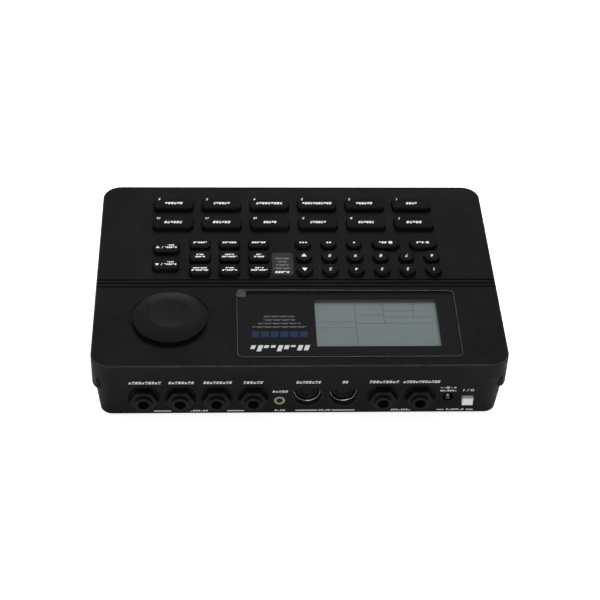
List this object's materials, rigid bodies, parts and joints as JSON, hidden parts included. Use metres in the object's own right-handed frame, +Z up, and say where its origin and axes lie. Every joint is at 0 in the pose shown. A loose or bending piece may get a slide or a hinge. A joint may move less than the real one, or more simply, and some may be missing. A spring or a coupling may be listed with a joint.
{
  "type": "drum machine",
  "caption": "Desktop drum machine with finger pads, round and square keys, a display window, a wide volume knob and rear sockets.",
  "frame": {"origin": "middle of the overall length and depth, on the surface the rubber feet stand on", "axes": "+X to the player's right along the long side, +Y to the rear socket panel, +Z up"},
  "size_m": [0.236, 0.166, 0.0489],
  "materials": {
    "top_shell": "finely grained moulded plastic, near black",
    "lower_shell": "finely grained moulded plastic, near black",
    "window": "clear hard plastic sheet with a black printed border on its underside",
    "display": "grey green liquid crystal glass",
    "black_plastic": "plain",
    "board": "green solder mask over glass fibre",
    "silicone": "soft grey silicone",
    "jack_black": "black moulded plastic with metal contacts inside",
    "nut_black": "black moulded plastic, satin",
    "gold_metal": "gold flash over a black moulded body",
    "socket_black": "black moulded body with metal contacts",
    "switch_black": "plain",
    "pot_metal": "pressed",
    "screw_steel": "dark zinc plate",
    "foot_rubber": "plain",
    "knob_black": "satin",
    "shaft_metal": "turned",
    "button_white": "pale grey moulded plastic, satin",
    "pad_rubber": "firm matte rubber",
    "key_black": "satin",
    "function_black": "satin",
    "print_white": "screen printed ink on the keys and panels",
    "print_grey": "screen printed ink, half tone",
    "print_blue": "screen printed ink under the window",
    "film": "thin clear protective film on the window",
    "contact_metal": "nickel plated socket contacts",
    "copper_leaf": "bare copper spring leaf"
  },
  "bodies": {
    "case": {"top_case": "top_shell", "bottom_case": "lower_shell", "display_lens": "window", "lcd_glass": "display", "lcd_bezel": "black_plastic", "panel_board": "board", "main_board": "board", "keypad_mat": "silicone", "phone_jacks": "jack_black", "jack_nuts": "nut_black", "tape_jack": "gold_metal", "midi_sockets": "socket_black", "power_inlet": "socket_black", "power_switch": "switch_black", "volume_pot": "pot_metal", "screws": "screw_steel", "rubber_feet": "foot_rubber"},
    "pad_1": {"pad_1": "pad_rubber"},
    "pad_2": {"pad_2": "pad_rubber"},
    "pad_3": {"pad_3": "pad_rubber"},
    "pad_4": {"pad_4": "pad_rubber"},
    "pad_5": {"pad_5": "pad_rubber"},
    "pad_6": {"pad_6": "pad_rubber"},
    "pad_7": {"pad_7": "pad_rubber"},
    "pad_8": {"pad_8": "pad_rubber"},
    "pad_9": {"pad_9": "pad_rubber"},
    "pad_10": {"pad_10": "pad_rubber"},
    "pad_11": {"pad_11": "pad_rubber"},
    "pad_12": {"pad_12": "pad_rubber"},
    "key_1": {"key_1": "key_black"},
    "key_2": {"key_2": "key_black"},
    "key_3": {"key_3": "key_black"},
    "key_4": {"key_4": "key_black"},
    "key_5": {"key_5": "key_black"},
    "key_6": {"key_6": "key_black"},
    "key_7": {"key_7": "key_black"},
    "key_8": {"key_8": "key_black"},
    "key_9": {"key_9": "key_black"},
    "key_0": {"key_0": "key_black"},
    "arrow_up": {"arrow_up": "key_black"},
    "arrow_down": {"arrow_down": "key_black"},
    "play_key": {"play_key": "key_black"},
    "stop_key": {"stop_key": "key_black"},
    "pattern_a_key": {"pattern_a_key": "key_black"},
    "pattern_b_key": {"pattern_b_key": "key_black"},
    "fill_key": {"fill_key": "key_black"},
    "function_key_1": {"function_key_1": "function_black"},
    "function_key_2": {"function_key_2": "function_black"},
    "function_key_3": {"function_key_3": "function_black"},
    "function_key_4": {"function_key_4": "function_black"},
    "function_key_5": {"function_key_5": "function_black"},
    "function_key_6": {"function_key_6": "function_black"},
    "function_key_7": {"function_key_7": "function_black"},
    "function_key_8": {"function_key_8": "function_black"},
    "function_key_9": {"function_key_9": "function_black"},
    "tempo_up_key": {"tempo_up_key": "function_black"},
    "tempo_down_key": {"tempo_down_key": "function_black"},
    "knob": {"volume_knob": "knob_black", "volume_shaft": "shaft_metal"},
    "power_button": {"power_button": "button_white"}
  },
  "joints": [
    {"name": "pad_1_press", "type": "slide", "parent": "case", "child": "pad_1", "axis": [0, 0, -1], "range_m": [0, 0.0012], "stiffness_N_per_m": 900},
    {"name": "pad_2_press", "type": "slide", "parent": "case", "child": "pad_2", "axis": [0, 0, -1], "range_m": [0, 0.0012], "stiffness_N_per_m": 900},
    {"name": "pad_3_press", "type": "slide", "parent": "case", "child": "pad_3", "axis": [0, 0, -1], "range_m": [0, 0.0012], "stiffness_N_per_m": 900},
    {"name": "pad_4_press", "type": "slide", "parent": "case", "child": "pad_4", "axis": [0, 0, -1], "range_m": [0, 0.0012], "stiffness_N_per_m": 900},
    {"name": "pad_5_press", "type": "slide", "parent": "case", "child": "pad_5", "axis": [0, 0, -1], "range_m": [0, 0.0012], "stiffness_N_per_m": 900},
    {"name": "pad_6_press", "type": "slide", "parent": "case", "child": "pad_6", "axis": [0, 0, -1], "range_m": [0, 0.0012], "stiffness_N_per_m": 900},
    {"name": "pad_7_press", "type": "slide", "parent": "case", "child": "pad_7", "axis": [0, 0, -1], "range_m": [0, 0.0012], "stiffness_N_per_m": 900},
    {"name": "pad_8_press", "type": "slide", "parent": "case", "child": "pad_8", "axis": [0, 0, -1], "range_m": [0, 0.0012], "stiffness_N_per_m": 900},
    {"name": "pad_9_press", "type": "slide", "parent": "case", "child": "pad_9", "axis": [0, 0, -1], "range_m": [0, 0.0012], "stiffness_N_per_m": 900},
    {"name": "pad_10_press", "type": "slide", "parent": "case", "child": "pad_10", "axis": [0, 0, -1], "range_m": [0, 0.0012], "stiffness_N_per_m": 900},
    {"name": "pad_11_press", "type": "slide", "parent": "case", "child": "pad_11", "axis": [0, 0, -1], "range_m": [0, 0.0012], "stiffness_N_per_m": 900},
    {"name": "pad_12_press", "type": "slide", "parent": "case", "child": "pad_12", "axis": [0, 0, -1], "range_m": [0, 0.0012], "stiffness_N_per_m": 900},
    {"name": "key_1_press", "type": "slide", "parent": "case", "child": "key_1", "axis": [0, 0, -1], "range_m": [0, 0.0012], "stiffness_N_per_m": 700},
    {"name": "key_2_press", "type": "slide", "parent": "case", "child": "key_2", "axis": [0, 0, -1], "range_m": [0, 0.0012], "stiffness_N_per_m": 700},
    {"name": "key_3_press", "type": "slide", "parent": "case", "child": "key_3", "axis": [0, 0, -1], "range_m": [0, 0.0012], "stiffness_N_per_m": 700},
    {"name": "key_4_press", "type": "slide", "parent": "case", "child": "key_4", "axis": [0, 0, -1], "range_m": [0, 0.0012], "stiffness_N_per_m": 700},
    {"name": "key_5_press", "type": "slide", "parent": "case", "child": "key_5", "axis": [0, 0, -1], "range_m": [0, 0.0012], "stiffness_N_per_m": 700},
    {"name": "key_6_press", "type": "slide", "parent": "case", "child": "key_6", "axis": [0, 0, -1], "range_m": [0, 0.0012], "stiffness_N_per_m": 700},
    {"name": "key_7_press", "type": "slide", "parent": "case", "child": "key_7", "axis": [0, 0, -1], "range_m": [0, 0.0012], "stiffness_N_per_m": 700},
    {"name": "key_8_press", "type": "slide", "parent": "case", "child": "key_8", "axis": [0, 0, -1], "range_m": [0, 0.0012], "stiffness_N_per_m": 700},
    {"name": "key_9_press", "type": "slide", "parent": "case", "child": "key_9", "axis": [0, 0, -1], "range_m": [0, 0.0012], "stiffness_N_per_m": 700},
    {"name": "key_0_press", "type": "slide", "parent": "case", "child": "key_0", "axis": [0, 0, -1], "range_m": [0, 0.0012], "stiffness_N_per_m": 700},
    {"name": "arrow_up_press", "type": "slide", "parent": "case", "child": "arrow_up", "axis": [0, 0, -1], "range_m": [0, 0.0012], "stiffness_N_per_m": 700},
    {"name": "arrow_down_press", "type": "slide", "parent": "case", "child": "arrow_down", "axis": [0, 0, -1], "range_m": [0, 0.0012], "stiffness_N_per_m": 700},
    {"name": "play_key_press", "type": "slide", "parent": "case", "child": "play_key", "axis": [0, 0, -1], "range_m": [0, 0.0012], "stiffness_N_per_m": 700},
    {"name": "stop_key_press", "type": "slide", "parent": "case", "child": "stop_key", "axis": [0, 0, -1], "range_m": [0, 0.0012], "stiffness_N_per_m": 700},
    {"name": "pattern_a_key_press", "type": "slide", "parent": "case", "child": "pattern_a_key", "axis": [0, 0, -1], "range_m": [0, 0.0012], "stiffness_N_per_m": 700},
    {"name": "pattern_b_key_press", "type": "slide", "parent": "case", "child": "pattern_b_key", "axis": [0, 0, -1], "range_m": [0, 0.0012], "stiffness_N_per_m": 700},
    {"name": "fill_key_press", "type": "slide", "parent": "case", "child": "fill_key", "axis": [0, 0, -1], "range_m": [0, 0.0012], "stiffness_N_per_m": 700},
    {"name": "function_key_1_press", "type": "slide", "parent": "case", "child": "function_key_1", "axis": [0, 0, -1], "range_m": [0, 0.0012], "stiffness_N_per_m": 700},
    {"name": "function_key_2_press", "type": "slide", "parent": "case", "child": "function_key_2", "axis": [0, 0, -1], "range_m": [0, 0.0012], "stiffness_N_per_m": 700},
    {"name": "function_key_3_press", "type": "slide", "parent": "case", "child": "function_key_3", "axis": [0, 0, -1], "range_m": [0, 0.0012], "stiffness_N_per_m": 700},
    {"name": "function_key_4_press", "type": "slide", "parent": "case", "child": "function_key_4", "axis": [0, 0, -1], "range_m": [0, 0.0012], "stiffness_N_per_m": 700},
    {"name": "function_key_5_press", "type": "slide", "parent": "case", "child": "function_key_5", "axis": [0, 0, -1], "range_m": [0, 0.0012], "stiffness_N_per_m": 700},
    {"name": "function_key_6_press", "type": "slide", "parent": "case", "child": "function_key_6", "axis": [0, 0, -1], "range_m": [0, 0.0012], "stiffness_N_per_m": 700},
    {"name": "function_key_7_press", "type": "slide", "parent": "case", "child": "function_key_7", "axis": [0, 0, -1], "range_m": [0, 0.0012], "stiffness_N_per_m": 700},
    {"name": "function_key_8_press", "type": "slide", "parent": "case", "child": "function_key_8", "axis": [0, 0, -1], "range_m": [0, 0.0012], "stiffness_N_per_m": 700},
    {"name": "function_key_9_press", "type": "slide", "parent": "case", "child": "function_key_9", "axis": [0, 0, -1], "range_m": [0, 0.0012], "stiffness_N_per_m": 700},
    {"name": "tempo_up_key_press", "type": "slide", "parent": "case", "child": "tempo_up_key", "axis": [0, 0, -1], "range_m": [0, 0.0012], "stiffness_N_per_m": 700},
    {"name": "tempo_down_key_press", "type": "slide", "parent": "case", "child": "tempo_down_key", "axis": [0, 0, -1], "range_m": [0, 0.0012], "stiffness_N_per_m": 700},
    {"name": "volume_turn", "type": "hinge", "parent": "case", "child": "knob", "pos_m": [0.074, 0.04045, 0.044], "axis": [0, 0, 1], "range_deg": [-28, 272]},
    {"name": "power_press", "type": "slide", "parent": "case", "child": "power_button", "axis": [0, -1, 0], "range_m": [0, 0.0022], "stiffness_N_per_m": 900}
  ]
}
